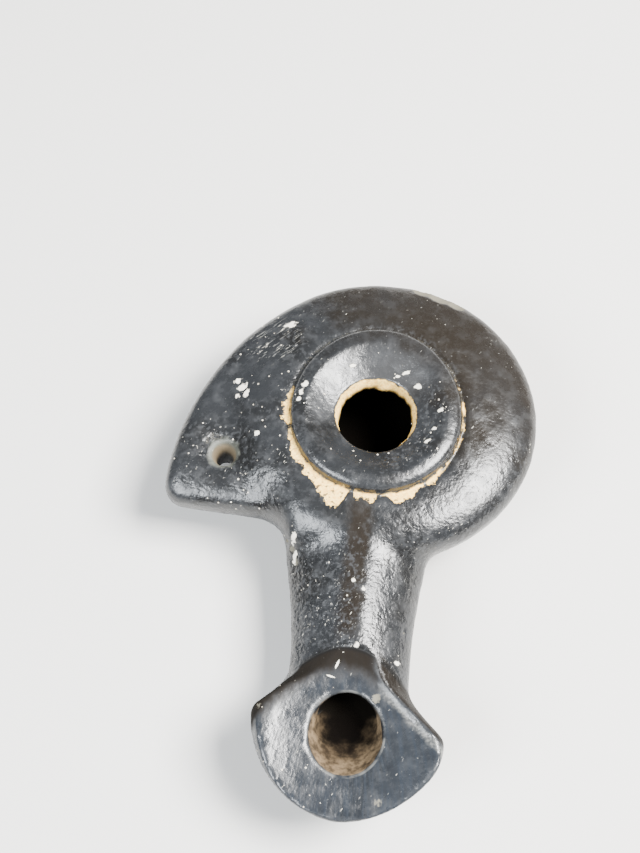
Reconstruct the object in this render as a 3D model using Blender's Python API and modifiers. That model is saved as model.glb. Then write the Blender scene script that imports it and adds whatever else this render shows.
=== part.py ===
"""A black-slipped terracotta oil lamp: a thrown body with a dished collar round the filling hole, a long
ridged nozzle that ends in a trimmed, fluked wick plate, and a pierced lug at its left side.

Clay was joined to clay before firing, so the lamp is one piece and one object. It is hollow: the oil
chamber, the nozzle's channel, the filling hole and the wick hole are one open space.

Frame: +Z up, the nozzle points along -Y and the lug along -X. The origin is the middle of the flat foot.
"""

import math

import bmesh
import bpy
from mathutils import Vector

MM = 0.001

# Body
BELLY_RADIUS = 30.4 * MM
BELLY_HEIGHT = 16.5 * MM
BELLY_SHIFT = Vector((1.9, 3.0)) * MM  # the widest line has slumped to the right and to the back
SHOULDER_HEIGHT = 22.7 * MM
FOOT_RADIUS = 18.5 * MM
FOOT_HEIGHT = 2.0 * MM
FOOT_EDGE = 0.7 * MM
BASE_CURVE = 1.7  # how full the lower wall is: 1 would be a cone

# Walls
WALL = 3.5 * MM
FLOOR = 4.2 * MM

# Collar and filling hole
COLLAR_RADIUS = 16.6 * MM
COLLAR_DRAW = 0.11  # share by which the collar's back is drawn out past a circle
COLLAR_HEIGHT = 2.3 * MM  # from the shoulder to the crest
CREST_RADIUS = 13.7 * MM
COLLAR_EDGE_DROP = 1.4 * MM  # from the crest down to the collar's outer edge
FILLING_RADIUS = 7.9 * MM
FILLING_TAPER = 1.7 * MM  # how much narrower the hole is at its lower end
DISH_DEPTH = 2.6 * MM  # from the crest down to the rim of the filling hole
GROOVE_WIDTH = 1.3 * MM
GROOVE_DEPTH = 0.45 * MM

# Nozzle, measured along it from the lamp's axis
NOZZLE_REACH = 76.2 * MM
ROOT_SHIFT = -1.2 * MM  # the nozzle leaves the body a little to the left of the axis
NECK_SHIFT = -0.45 * MM  # what is left of that where the neck ends
NECK_HALF_WIDTH = 11.3 * MM
ROOT_FLARE = 2.5 * MM  # extra half-width where the nozzle leaves the body
ROOT_LENGTH = 20.0 * MM  # over which that extra width dies out
RIDGE_ROOT_HEIGHT = 22.2 * MM
RIDGE_END_HEIGHT = 20.4 * MM
NECK_SIDE_HEIGHT = 13.5 * MM  # height of the neck's widest line
NECK_UNDERSIDE = 6.2 * MM
RIDGE_SHARPNESS = 1.55  # superellipse power of the neck's roof: 1 is a gable, 2 an arch
UNDERSIDE_POWER = 1.9

# Fluked end of the nozzle
FLUKE_HALF_WIDTH = 17.6 * MM
TIP_LENGTH = 17.4 * MM  # from the flukes to the rounded tip
FLARE_LENGTH = 8.6 * MM  # over which the neck widens into the flukes
TIP_POWER = 1.85  # superellipse power of the rounded tip, seen from above
FLUKE_SKEW = 0.08  # the right fluke sits nearer the tip than the left one
FLUKE_SIDE_HEIGHT = 15.6 * MM
END_UNDERSIDE = 7.2 * MM

# Trimmed wick plate
PLATE_BACK = 46.2 * MM  # where the knife entered the ridge
PLATE_SCOOP = 9.0 * MM  # length of the scooped start of the cut
PLATE_HEIGHT = 17.3 * MM
PLATE_FALL = 1.5 * MM  # how much lower the plate is at the tip
PLATE_DISH_RADIUS = 70.0 * MM

# Wick hole and channel
WICK_FROM_TIP = 15.2 * MM
WICK_HALF_WIDTH = 7.1 * MM
WICK_HALF_LENGTH = 7.5 * MM
WICK_FLOOR_SHARE = 0.6  # size of the funnel's lower end against its mouth
WICK_LEAN = 0.9  # how much of the funnel's narrowing is at the tip's side: 0 is even, 1 is all of it
CHANNEL_HALF_WIDTH = 5.6 * MM
CHANNEL_HALF_HEIGHT = 3.3 * MM
CHANNEL_HEIGHT = 13.0 * MM

# Side lug
LUG_START = math.radians(92)  # where its back edge leaves the belly, seen from above
LUG_END = math.radians(204)
LUG_SEAM = 0.4 * MM  # clay laid over the belly where the back edge starts
LUG_PROUD = 14.8 * MM
LUG_SPIRAL = 2.9  # how late the back edge swings out: 1 would be an even spiral
LUG_TIP_RADIUS = 3.8 * MM
LUG_FRONT_SLOPE = 0.9 * MM  # how far the front edge falls away from the tip to the web
LUG_WEB = 6.0 * MM  # clay in the corner between the lug and the nozzle
LUG_THICKNESS = 11.8 * MM
LUG_TIP_THICKNESS = 7.8 * MM
LUG_EDGE = 3.4 * MM
LUG_HEIGHT = 14.4 * MM
LUG_LIFT = 0.5 * MM  # how much higher its middle lies at the body, where its top runs into the shoulder
LUG_HOLE_IN = 11.0 * MM  # from the lug's tip, towards the body
LUG_HOLE_BACK = 9.6 * MM  # from the lug's front edge, towards the back
LUG_HOLE_RADIUS = 1.9 * MM
LUG_HOLE_WEAR = 0.9 * MM  # how far the worn mouth is wider than the hole

# Fineness of the mesh
VOXEL = 1.0 * MM
FILLET_STEPS = 22
FILLET_REACH = 9.0 * MM
SKIN_TRIANGLES = 5000
TURNED_STEPS = 56
CHAMBER_STEPS = 32
SECTION_POINTS = 40
HOLE_POINTS = 28
CLEAR = 1.0 * MM  # how far a cutter runs past what it cuts

TIP_Y = -NOZZLE_REACH
FLUKE_Y = TIP_Y + TIP_LENGTH
WICK_Y = TIP_Y + WICK_FROM_TIP
CREST_HEIGHT = SHOULDER_HEIGHT + COLLAR_HEIGHT
CEILING = SHOULDER_HEIGHT - WALL
LUG_TIP = BELLY_SHIFT + (BELLY_RADIUS + LUG_SEAM + LUG_PROUD) * Vector((math.cos(LUG_END), math.sin(LUG_END)))


def collection(name):
    """A new collection under the scene's own."""
    made = bpy.data.collections.new(name)
    bpy.context.scene.collection.children.link(made)
    return made


def add_object(name, mesh, home):
    """An object that shows this mesh, in a collection."""
    obj = bpy.data.objects.new(name, mesh)
    home.objects.link(obj)
    return obj


def evaluated_mesh(obj):
    """The object's mesh with its modifiers applied. The object itself is removed."""
    bpy.context.view_layer.update()
    mesh = bpy.data.meshes.new_from_object(obj.evaluated_get(bpy.context.evaluated_depsgraph_get()))
    mesh.transform(obj.matrix_world)
    bpy.data.objects.remove(obj)
    return mesh


def ease(share):
    """0 to 1 with level ends."""
    share = min(max(share, 0.0), 1.0)
    return share * share * (3 - 2 * share)


def between(low, high, share):
    """The value this share of the way from low to high."""
    return low + (high - low) * share


def turned(profile, home, steps=TURNED_STEPS):
    """A solid of revolution round the Z axis. The profile runs from the axis, down the outside, to the axis."""
    mesh = bpy.data.meshes.new("turned")
    points = [(radius, 0.0, height) for radius, height in profile]
    mesh.from_pydata(points, [(i, i + 1) for i in range(len(points) - 1)], [])
    obj = add_object("turned", mesh, home)
    screw = obj.modifiers.new("turn", "SCREW")
    screw.steps = screw.render_steps = steps
    screw.use_merge_vertices = True
    screw.merge_threshold = 0.00001
    weld = obj.modifiers.new("close the poles", "WELD")
    weld.merge_threshold = 0.00001
    return evaluated_mesh(obj)


def lofted(rings):
    """A closed solid through rings of as many points each, all turning the same way."""
    bm = bmesh.new()
    loops = [[bm.verts.new(point) for point in ring] for ring in rings]
    for first, second in zip(loops, loops[1:]):
        for i, corner in enumerate(first):
            after = (i + 1) % len(first)
            bm.faces.new((corner, first[after], second[after], second[i]))
    bm.faces.new(loops[0])
    bm.faces.new(loops[-1])
    bmesh.ops.recalc_face_normals(bm, faces=bm.faces)
    mesh = bpy.data.meshes.new("lofted")
    bm.to_mesh(mesh)
    bm.free()
    return mesh


def oval(centre, half_x, half_y, height):
    """A level ring round a centre in plan."""
    turns = [2 * math.pi * i / HOLE_POINTS for i in range(HOLE_POINTS)]
    return [(centre[0] + half_x * math.cos(t), centre[1] + half_y * math.sin(t), height) for t in turns]


def body_profile(inset, floor, count):
    """Half the section of the thrown body, or of its chamber when inset by the wall."""
    crown = SHOULDER_HEIGHT - inset
    belly = BELLY_RADIUS - inset
    base = FOOT_RADIUS - inset
    top = COLLAR_RADIUS - inset
    points = [(0.0, crown)]
    for i in range(count + 1):
        turn = math.radians(90) * (1 - i / count)
        rise = (crown - BELLY_HEIGHT) * math.sin(turn)
        points.append((top + (belly - top) * math.cos(turn), BELLY_HEIGHT + rise))
    for i in range(1, count + 1):
        share = i / count
        points.append((belly - (belly - base) * share**BASE_CURVE, between(BELLY_HEIGHT, floor, share)))
    points.append((0.0, floor))
    return points


def slump(mesh):
    """Moves the belly off the axis, and leaves the foot and the shoulder's top where they are."""
    for vertex in mesh.vertices:
        above = vertex.co.z > BELLY_HEIGHT
        span = SHOULDER_HEIGHT - BELLY_HEIGHT if above else BELLY_HEIGHT - FOOT_HEIGHT
        share = 1 - ease(abs(vertex.co.z - BELLY_HEIGHT) / span)
        vertex.co.x += BELLY_SHIFT.x * share
        vertex.co.y += BELLY_SHIFT.y * share
    return mesh


def root_share(y):
    """0 where the nozzle leaves the belly, 1 where it has taken its own width."""
    return min(max((BELLY_SHIFT.y - BELLY_RADIUS - y) / ROOT_LENGTH, 0.0), 1.0)


def neck_section(y):
    """The nozzle's section at this place along it: half-width, top, side and bottom heights, roof power."""
    neck_start = FLUKE_Y + FLARE_LENGTH
    out = (y + BELLY_RADIUS / 2) / (neck_start + BELLY_RADIUS / 2)
    end = (y - neck_start) / (FLUKE_Y - neck_start)
    half = NECK_HALF_WIDTH + ROOT_FLARE * (1 - root_share(y)) ** 2
    side = NECK_SIDE_HEIGHT + (FLUKE_SIDE_HEIGHT - NECK_SIDE_HEIGHT) * ease(end)
    low = NECK_UNDERSIDE + (END_UNDERSIDE - NECK_UNDERSIDE) * ease(end)
    top = between(RIDGE_ROOT_HEIGHT, RIDGE_END_HEIGHT, min(out, 1.0))
    power = between(RIDGE_SHARPNESS, 5.0, ease(end))
    if end > 0:
        half += (FLUKE_HALF_WIDTH - NECK_HALF_WIDTH) * min(end, 1.0) ** 1.7
    if end > 1:
        tip = min((FLUKE_Y - y) / TIP_LENGTH, 1.0)
        narrowing = max(1 - tip**TIP_POWER, 0.0) ** (1 / TIP_POWER)
        half *= narrowing
        low = between(side, low, narrowing**0.8)
    return half, top, side, low, power


def nozzle_ring(y):
    """The points of one section of the nozzle."""
    half, top, side, low, power = neck_section(y)
    shift = between(ROOT_SHIFT, NECK_SHIFT, root_share(y))
    shift *= 1 - ease((FLUKE_Y + FLARE_LENGTH - y) / FLARE_LENGTH)
    skew = FLUKE_SKEW * ease((y + BELLY_RADIUS) / (FLUKE_Y + BELLY_RADIUS))
    skew *= 1 - ease((FLUKE_Y - y) / TIP_LENGTH)
    ring = []
    for i in range(SECTION_POINTS):
        turn = 2 * math.pi * i / SECTION_POINTS
        across, up = math.cos(turn), math.sin(turn)
        bend = power if up >= 0 else UNDERSIDE_POWER
        x = half * math.copysign(abs(across) ** (2 / bend), across)
        rise = abs(up) ** (2 / bend)
        z = side + (top - side) * rise if up >= 0 else side - (side - low) * rise
        ring.append((x + shift, y - x * skew, z))
    return ring


def nozzle_form():
    """The nozzle as thrown and pulled, before its end is trimmed. It starts inside the body."""
    straight, rounded = 26, 16
    start = -BELLY_RADIUS / 2
    ys = [between(start, FLUKE_Y, i / straight) for i in range(straight + 1)]
    for i in range(1, rounded):
        ys.append(FLUKE_Y - TIP_LENGTH * math.sin(math.radians(89.0) * i / (rounded - 1)))
    return lofted([nozzle_ring(y) for y in ys])


def lug_outline():
    """The lug from above: a spiral that leaves the belly, a rounded tip, and a front edge webbed to the nozzle."""
    points = []
    for i in range(25):
        share = i / 24
        turn = between(LUG_START, LUG_END, share)
        radius = BELLY_RADIUS + LUG_SEAM * ease(4 * share) + LUG_PROUD * share**LUG_SPIRAL
        points.append(BELLY_SHIFT + radius * Vector((math.cos(turn), math.sin(turn))))
    front = LUG_TIP.y - LUG_TIP_RADIUS - LUG_FRONT_SLOPE
    for i in range(1, 7):
        turn = math.radians(90) * i / 6
        x = LUG_TIP.x + LUG_TIP_RADIUS * (1 - math.cos(turn))
        points.append(Vector((x, LUG_TIP.y - LUG_TIP_RADIUS * math.sin(turn))))
    corner = ROOT_SHIFT - NECK_HALF_WIDTH - ROOT_FLARE
    for i in range(6):
        turn = math.radians(90) * i / 5
        x = corner - LUG_WEB * (1 - math.sin(turn))
        points.append(Vector((x, front - LUG_WEB * (1 - math.cos(turn)))))
    points.append(Vector((corner + LUG_WEB, front - LUG_WEB)))
    points.append(Vector((0.0, 0.0)))
    return points


def lug_form(home):
    """The lug: its outline as a plate with round edges, thinner towards the tip."""
    curve = bpy.data.curves.new("lug", "CURVE")
    curve.dimensions = "2D"
    curve.fill_mode = "BOTH"
    curve.extrude = LUG_THICKNESS / 2 - LUG_EDGE
    curve.bevel_depth = LUG_EDGE
    curve.bevel_resolution = 4
    curve.offset = -LUG_EDGE
    outline = lug_outline()
    spline = curve.splines.new("POLY")
    spline.points.add(len(outline) - 1)
    for place, point in zip(spline.points, outline):
        place.co = (point.x, point.y, 0.0, 1.0)
    spline.use_cyclic_u = True
    mesh = evaluated_mesh(add_object("lug", curve, home))
    for vertex in mesh.vertices:
        out = (vertex.co.xy.length - BELLY_RADIUS / 2) / (BELLY_RADIUS / 2 + LUG_PROUD)
        thickness = between(LUG_THICKNESS, LUG_TIP_THICKNESS, ease(out))
        middle = LUG_HEIGHT + LUG_LIFT * (1 - ease(out))
        vertex.co.z = middle + vertex.co.z * thickness / LUG_THICKNESS
    return mesh


def modelled_skin(home):
    """Body, nozzle and lug luted together: one skin, with clay smoothed into the joints."""
    bm = bmesh.new()
    forms = (slump(turned(body_profile(0.0, FOOT_HEIGHT / 2, 12), home)), nozzle_form(), lug_form(home))
    for mesh in forms:
        bm.from_mesh(mesh)
    bmesh.ops.remove_doubles(bm, verts=bm.verts, dist=0.000001)
    joined = bpy.data.meshes.new("skin")
    bm.to_mesh(joined)
    bm.free()
    skin = add_object("skin", joined, home)
    remesh = skin.modifiers.new("one skin", "REMESH")
    remesh.mode = "VOXEL"
    remesh.voxel_size = VOXEL
    skin = add_object("skin", evaluated_mesh(skin), home)
    joints = skin.vertex_groups.new(name="joints")
    for vertex in skin.data.vertices:
        away = abs((vertex.co.xy - BELLY_SHIFT).length - BELLY_RADIUS)
        joints.add([vertex.index], max(0.12, 1 - ease(away / FILLET_REACH)), "REPLACE")
    smooth = skin.modifiers.new("smoothed joints", "SMOOTH")
    smooth.factor = 0.5
    smooth.iterations = FILLET_STEPS
    smooth.vertex_group = "joints"
    return evaluated_mesh(skin)


def foot_form(home):
    """The flat disc foot."""
    profile = [
        (0.0, FLOOR - CLEAR),
        (FOOT_RADIUS - FOOT_EDGE, FLOOR - CLEAR),
        (FOOT_RADIUS, FOOT_HEIGHT),
        (FOOT_RADIUS, FOOT_EDGE),
        (FOOT_RADIUS - FOOT_EDGE, 0.0),
        (0.0, 0.0),
    ]
    return turned(profile, home)


def drawn_back(mesh):
    """Draws out the back of a turned ring. The filling hole inside it stays round."""
    for vertex in mesh.vertices:
        share = (vertex.co.xy.length - FILLING_RADIUS) / (COLLAR_RADIUS - FILLING_RADIUS)
        if vertex.co.y > 0:
            vertex.co.y *= 1 + COLLAR_DRAW * min(max(share, 0.0), 1.0)
    return mesh


def collar_form(home):
    """The collar's ring before it is dished: a low drum with a rounded crest."""
    edge = CREST_HEIGHT - COLLAR_EDGE_DROP
    profile = [(0.0, CREST_HEIGHT), (CREST_RADIUS, CREST_HEIGHT)]
    for i in range(1, 5):
        turn = math.radians(90) * i / 4
        out = between(CREST_RADIUS, COLLAR_RADIUS, math.sin(turn))
        profile.append((out, between(edge, CREST_HEIGHT, math.cos(turn))))
    profile += [(COLLAR_RADIUS, CEILING + CLEAR), (0.0, CEILING + CLEAR)]
    return drawn_back(turned(profile, home))


def groove_cutter(home):
    """The groove at the collar's foot."""
    low = SHOULDER_HEIGHT - GROOVE_DEPTH
    profile = [
        (COLLAR_RADIUS, CREST_HEIGHT + CLEAR),
        (COLLAR_RADIUS + GROOVE_WIDTH, CREST_HEIGHT + CLEAR),
        (COLLAR_RADIUS + GROOVE_WIDTH, SHOULDER_HEIGHT),
        (COLLAR_RADIUS + GROOVE_WIDTH / 2, low),
        (COLLAR_RADIUS, low),
        (COLLAR_RADIUS, CREST_HEIGHT + CLEAR),
    ]
    return drawn_back(turned(profile, home))


def filling_cutter(home):
    """The dish inside the collar, and the filling hole below it, as one turned form."""
    rim = CREST_HEIGHT - DISH_DEPTH
    profile = [(0.0, CREST_HEIGHT + CLEAR), (CREST_RADIUS, CREST_HEIGHT + CLEAR), (CREST_RADIUS, CREST_HEIGHT)]
    for i in range(1, 7):
        share = i / 6
        radius = between(CREST_RADIUS, FILLING_RADIUS, share)
        profile.append((radius, CREST_HEIGHT - DISH_DEPTH * (1 - (1 - share) ** 1.4) ** 1.25))
    profile[-1] = (FILLING_RADIUS, rim)
    profile += [(FILLING_RADIUS - FILLING_TAPER, CEILING - CLEAR), (0.0, CEILING - CLEAR)]
    return drawn_back(turned(profile, home))


def plate_height(x, y):
    """Height of the trimmed surface over a place in plan."""
    past = -PLATE_BACK - y
    slope = 2 * (RIDGE_END_HEIGHT - PLATE_HEIGHT) / PLATE_SCOOP
    if past < 0:
        height = RIDGE_END_HEIGHT - slope * past
    elif past < PLATE_SCOOP:
        height = between(PLATE_HEIGHT, RIDGE_END_HEIGHT, (1 - past / PLATE_SCOOP) ** 2)
    else:
        height = PLATE_HEIGHT - PLATE_FALL * (past - PLATE_SCOOP) / (NOZZLE_REACH - PLATE_BACK - PLATE_SCOOP)
    return height + x * x / (2 * PLATE_DISH_RADIUS)


def plate_cutter():
    """What the knife took off the nozzle's end: a sheet with the plate's surface below, pulled up."""
    half = FLUKE_HALF_WIDTH + 4 * CLEAR
    back, front = -PLATE_BACK + PLATE_SCOOP, TIP_Y - 4 * CLEAR
    top = CREST_HEIGHT + 10 * CLEAR
    across, along = 6, 14
    bm = bmesh.new()
    bmesh.ops.create_grid(bm, x_segments=across, y_segments=along, size=1.0)
    for vertex in bm.verts:
        vertex.co.x *= half
        vertex.co.y = between(front, back, (vertex.co.y + 1) / 2)
        vertex.co.z = plate_height(vertex.co.x, vertex.co.y)
    raised = bmesh.ops.extrude_face_region(bm, geom=bm.faces[:])["geom"]
    for vertex in (item for item in raised if isinstance(item, bmesh.types.BMVert)):
        vertex.co.z = top
    bmesh.ops.recalc_face_normals(bm, faces=bm.faces)
    mesh = bpy.data.meshes.new("plate cut")
    bm.to_mesh(mesh)
    bm.free()
    return mesh


def chamber_cutter(home):
    """The oil chamber inside the body."""
    return slump(turned(body_profile(WALL, FLOOR, 6), home, CHAMBER_STEPS))


def channel_cutter():
    """The channel from the chamber to below the wick hole."""
    rings = []
    for y in (-BELLY_RADIUS / 2, WICK_Y):
        ring = []
        for i in range(HOLE_POINTS):
            turn = 2 * math.pi * i / HOLE_POINTS
            across = CHANNEL_HALF_WIDTH * math.cos(turn)
            ring.append((across, y, CHANNEL_HEIGHT + CHANNEL_HALF_HEIGHT * math.sin(turn)))
        rings.append(ring)
    return lofted(rings)


def wick_cutter():
    """The wick hole: an oval funnel whose floor slopes up to the tip."""
    top = PLATE_HEIGHT + 4 * CLEAR
    low = CHANNEL_HEIGHT - CHANNEL_HALF_HEIGHT - 0.3 * CLEAR
    rings = []
    for share in (0.0, 0.12, 0.35, 0.65, 1.0):
        size = between(WICK_FLOOR_SHARE, 1.0, math.sin(math.radians(90) * share))
        centre = (0.0, WICK_Y + (1 - size) * WICK_HALF_LENGTH * WICK_LEAN)
        height = between(low, PLATE_HEIGHT, share)
        rings.append(oval(centre, WICK_HALF_WIDTH * size, WICK_HALF_LENGTH * size, height))
    rings.append(oval((0.0, WICK_Y), WICK_HALF_WIDTH * 1.05, WICK_HALF_LENGTH * 1.05, top))
    return lofted(rings)


def lug_hole_cutter():
    """The hole for a cord through the lug, worn wide at both mouths."""
    half = LUG_THICKNESS / 2 + CLEAR
    centre = (LUG_TIP.x + LUG_HOLE_IN, LUG_TIP.y - LUG_TIP_RADIUS + LUG_HOLE_BACK)
    rings = []
    for share in (-1.0, -0.62, -0.45, 0.0, 0.45, 0.62, 1.0):
        wear = LUG_HOLE_WEAR * ease((abs(share) - 0.45) / 0.4)
        radius = LUG_HOLE_RADIUS + wear
        rings.append(oval(centre, radius, radius, LUG_HEIGHT + half * share))
    return lofted(rings)


def fired_clay():
    """Dark slip, rubbed to a soft shine."""
    material = bpy.data.materials.new("black slip")
    material.use_nodes = True
    shader = material.node_tree.nodes["Principled BSDF"]
    shader.inputs["Base Color"].default_value = (0.052, 0.053, 0.056, 1.0)
    shader.inputs["Roughness"].default_value = 0.42
    shader.inputs["Metallic"].default_value = 0.0
    return material


def boolean(obj, operation, mesh, name, home):
    """Adds a Boolean with a helper object that a render leaves out."""
    helper = add_object(name, mesh, home)
    helper.hide_render = True
    helper.display_type = "WIRE"
    modifier = obj.modifiers.new(name, "BOOLEAN")
    modifier.operation = operation
    modifier.object = helper


def build_lamp():
    """The whole lamp, as one object."""
    parts = collection("oil lamp")
    helpers = collection("cutters")
    lamp = add_object("oil_lamp", modelled_skin(helpers), parts)
    lamp.data.materials.clear()
    lamp.data.materials.append(fired_clay())
    thin = lamp.modifiers.new("fewer faces", "DECIMATE")
    thin.ratio = min(1.0, SKIN_TRIANGLES / (2 * len(lamp.data.polygons)))
    boolean(lamp, "DIFFERENCE", plate_cutter(), "plate_cut", helpers)
    boolean(lamp, "UNION", foot_form(helpers), "foot", helpers)
    boolean(lamp, "UNION", collar_form(helpers), "collar", helpers)
    boolean(lamp, "DIFFERENCE", groove_cutter(helpers), "groove", helpers)
    boolean(lamp, "DIFFERENCE", filling_cutter(helpers), "filling_hole", helpers)
    boolean(lamp, "DIFFERENCE", chamber_cutter(helpers), "oil_chamber", helpers)
    boolean(lamp, "DIFFERENCE", channel_cutter(), "channel", helpers)
    boolean(lamp, "DIFFERENCE", wick_cutter(), "wick_hole", helpers)
    boolean(lamp, "DIFFERENCE", lug_hole_cutter(), "lug_hole", helpers)
    lamp.data.shade_smooth()
    lamp.data.set_sharp_from_angle(angle=math.radians(35))
    return lamp


for old in list(bpy.data.objects):
    bpy.data.objects.remove(old)
build_lamp()
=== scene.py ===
"""The oil lamp's looks: one fired skin at full fineness, with its slip, worn clay, chips, dirt and lime.

The lamp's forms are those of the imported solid, turned, pulled and cut again at a finer grain. Sizes are in
metres through MM. The nozzle points along -Y and the lug along -X, and the foot stands at z = 0.
"""

import math

import bmesh
import bpy
import numpy as np
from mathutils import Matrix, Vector, noise


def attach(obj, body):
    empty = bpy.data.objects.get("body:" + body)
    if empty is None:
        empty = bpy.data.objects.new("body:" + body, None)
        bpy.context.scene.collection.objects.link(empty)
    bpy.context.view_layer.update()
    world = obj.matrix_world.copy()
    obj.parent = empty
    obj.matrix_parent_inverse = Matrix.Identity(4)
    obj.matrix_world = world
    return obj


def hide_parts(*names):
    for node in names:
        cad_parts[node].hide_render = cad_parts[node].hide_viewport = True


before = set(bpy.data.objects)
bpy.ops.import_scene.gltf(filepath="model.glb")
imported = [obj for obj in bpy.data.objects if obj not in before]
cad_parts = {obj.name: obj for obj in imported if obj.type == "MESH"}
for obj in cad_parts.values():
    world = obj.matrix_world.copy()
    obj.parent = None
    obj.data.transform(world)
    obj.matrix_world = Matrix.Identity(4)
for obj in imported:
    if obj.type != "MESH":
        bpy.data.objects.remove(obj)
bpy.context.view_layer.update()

MM = 0.001

# Body
BELLY_RADIUS = 30.4 * MM
BELLY_HEIGHT = 16.5 * MM
BELLY_SHIFT = Vector((1.9, 3.0)) * MM
SHOULDER_HEIGHT = 22.7 * MM
FOOT_RADIUS = 18.5 * MM
FOOT_HEIGHT = 2.0 * MM
FOOT_EDGE = 0.7 * MM
BASE_CURVE = 1.7
WALL = 3.5 * MM
FLOOR = 4.2 * MM

# Collar and filling hole
COLLAR_RADIUS = 16.6 * MM
COLLAR_DRAW = 0.11  # share by which the collar's back is drawn out past a circle
COLLAR_HEIGHT = 2.3 * MM
CREST_RADIUS = 13.7 * MM
COLLAR_EDGE_DROP = 1.4 * MM
FILLING_RADIUS = 7.9 * MM
FILLING_TAPER = 1.1 * MM
DISH_DEPTH = 2.6 * MM
GROOVE_WIDTH = 1.3 * MM
GROOVE_DEPTH = 0.45 * MM

# Nozzle, measured along it from the lamp's axis
NOZZLE_REACH = 76.2 * MM
ROOT_SHIFT = -1.2 * MM
NECK_SHIFT = -0.45 * MM
NECK_HALF_WIDTH = 11.3 * MM
ROOT_FLARE = 2.5 * MM
ROOT_LENGTH = 20.0 * MM
RIDGE_ROOT_HEIGHT = 22.2 * MM
RIDGE_END_HEIGHT = 20.4 * MM
RIDGE_SIDE = 1.3 * MM  # the ridge runs this far to the right of the nozzle's middle at its root
NECK_SIDE_HEIGHT = 12.7 * MM
NECK_UNDERSIDE = 6.2 * MM
RIDGE_SHARPNESS = 1.42
FLUKE_EDGE_POWER = 5.0
FLUKE_ROLL_POWER = 2.6  # the back of the right fluke is rolled, not cut
FLUKE_ROLL_LENGTH = 6.0 * MM
UNDERSIDE_POWER = 1.9

# Fluked end and trimmed wick plate
FLUKE_HALF_WIDTH = 17.6 * MM
TIP_LENGTH = 17.4 * MM
FLARE_LENGTH = 8.6 * MM
TIP_POWER = 1.85
FLUKE_SKEW = 0.08
FLUKE_SIDE_HEIGHT = 15.6 * MM
END_UNDERSIDE = 7.2 * MM
PLATE_BACK = 45.5 * MM
PLATE_SCOOP = 9.6 * MM
PLATE_HEIGHT = 17.2 * MM
PLATE_FALL = 1.5 * MM
PLATE_CURL = 2.7 * MM  # how far the plate's sides rise at the flukes
PLATE_CURL_POWER = 3.0
LIP_START = 45.7 * MM  # the rolled right edge of the plate starts past this line
LIP_SLOPE = 0.9
LIP_WIDTH = 1.8 * MM
LIP_RISE = 3.0 * MM
LIP_NEAR = 3.5 * MM
LIP_FULL = 8.0 * MM

# Wick hole and channel
WICK_FROM_TIP = 15.2 * MM
WICK_HALF_WIDTH = 6.7 * MM
WICK_HALF_LENGTH = 7.3 * MM
WICK_FLOOR_SHARE = 0.42
WICK_LEAN = 1.0
CHANNEL_HALF_WIDTH = 5.6 * MM
CHANNEL_HALF_HEIGHT = 3.3 * MM
CHANNEL_HEIGHT = 13.0 * MM

# Side lug
LUG_START = math.radians(92)
LUG_END = math.radians(204)
LUG_SEAM = 0.4 * MM
LUG_PROUD = 14.8 * MM
LUG_SPIRAL = 2.9
LUG_TIP_RADIUS = 3.8 * MM
LUG_FRONT_SLOPE = 0.9 * MM
LUG_WEB = 6.0 * MM
LUG_THICKNESS = 11.8 * MM
LUG_TIP_THICKNESS = 7.8 * MM
LUG_EDGE = 3.4 * MM
LUG_HEIGHT = 14.4 * MM
LUG_LIFT = 0.5 * MM
LUG_HOLE_IN = 11.0 * MM
LUG_HOLE_BACK = 9.6 * MM
LUG_HOLE_RADIUS = 1.7 * MM
LUG_HOLE_WEAR = 0.95 * MM
LUG_ROLL = 1.1 * MM  # the lug's front edge falls off this much more than its others
LUG_ROLL_BACK = -12.0 * MM
LUG_ROLL_WIDTH = 6.5 * MM
LUG_ROLL_RIGHT = -13.0 * MM

# Fineness of the mesh
JOINING_VOXEL = 0.8 * MM
JOINING_STEPS = 34
JOINING_REACH = 9.0 * MM
SKIN_VOXEL = 0.51 * MM
SKIN_STEPS = 2
TURNED_STEPS = 120
SECTION_POINTS = 96
HOLE_POINTS = 72
CLEAR = 1.0 * MM

TIP_Y = -NOZZLE_REACH
FLUKE_Y = TIP_Y + TIP_LENGTH
WICK_Y = TIP_Y + WICK_FROM_TIP
CREST_HEIGHT = SHOULDER_HEIGHT + COLLAR_HEIGHT
ABOVE_CREST = CREST_HEIGHT + CLEAR
CEILING = SHOULDER_HEIGHT - WALL
LUG_TIP = BELLY_SHIFT + (BELLY_RADIUS + LUG_SEAM + LUG_PROUD) * Vector((math.cos(LUG_END), math.sin(LUG_END)))
LUG_HOLE = Vector((LUG_TIP.x + LUG_HOLE_IN, LUG_TIP.y - LUG_TIP_RADIUS + LUG_HOLE_BACK))


# Making and shaping meshes


def add_object(name, mesh):
    """An object that shows this mesh, in the scene."""
    obj = bpy.data.objects.new(name, mesh)
    bpy.context.scene.collection.objects.link(obj)
    return obj


def evaluated_mesh(obj):
    """The object's mesh with its modifiers applied. The object itself is removed."""
    bpy.context.view_layer.update()
    mesh = bpy.data.meshes.new_from_object(obj.evaluated_get(bpy.context.evaluated_depsgraph_get()))
    bpy.data.objects.remove(obj)
    return mesh


def ease(share):
    """0 to 1 with level ends."""
    share = min(max(share, 0.0), 1.0)
    return share * share * (3 - 2 * share)


def ease_all(shares):
    """The same for an array."""
    shares = np.clip(shares, 0.0, 1.0)
    return shares * shares * (3 - 2 * shares)


def between(low, high, share):
    """The value this share of the way from low to high."""
    return low + (high - low) * share


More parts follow.
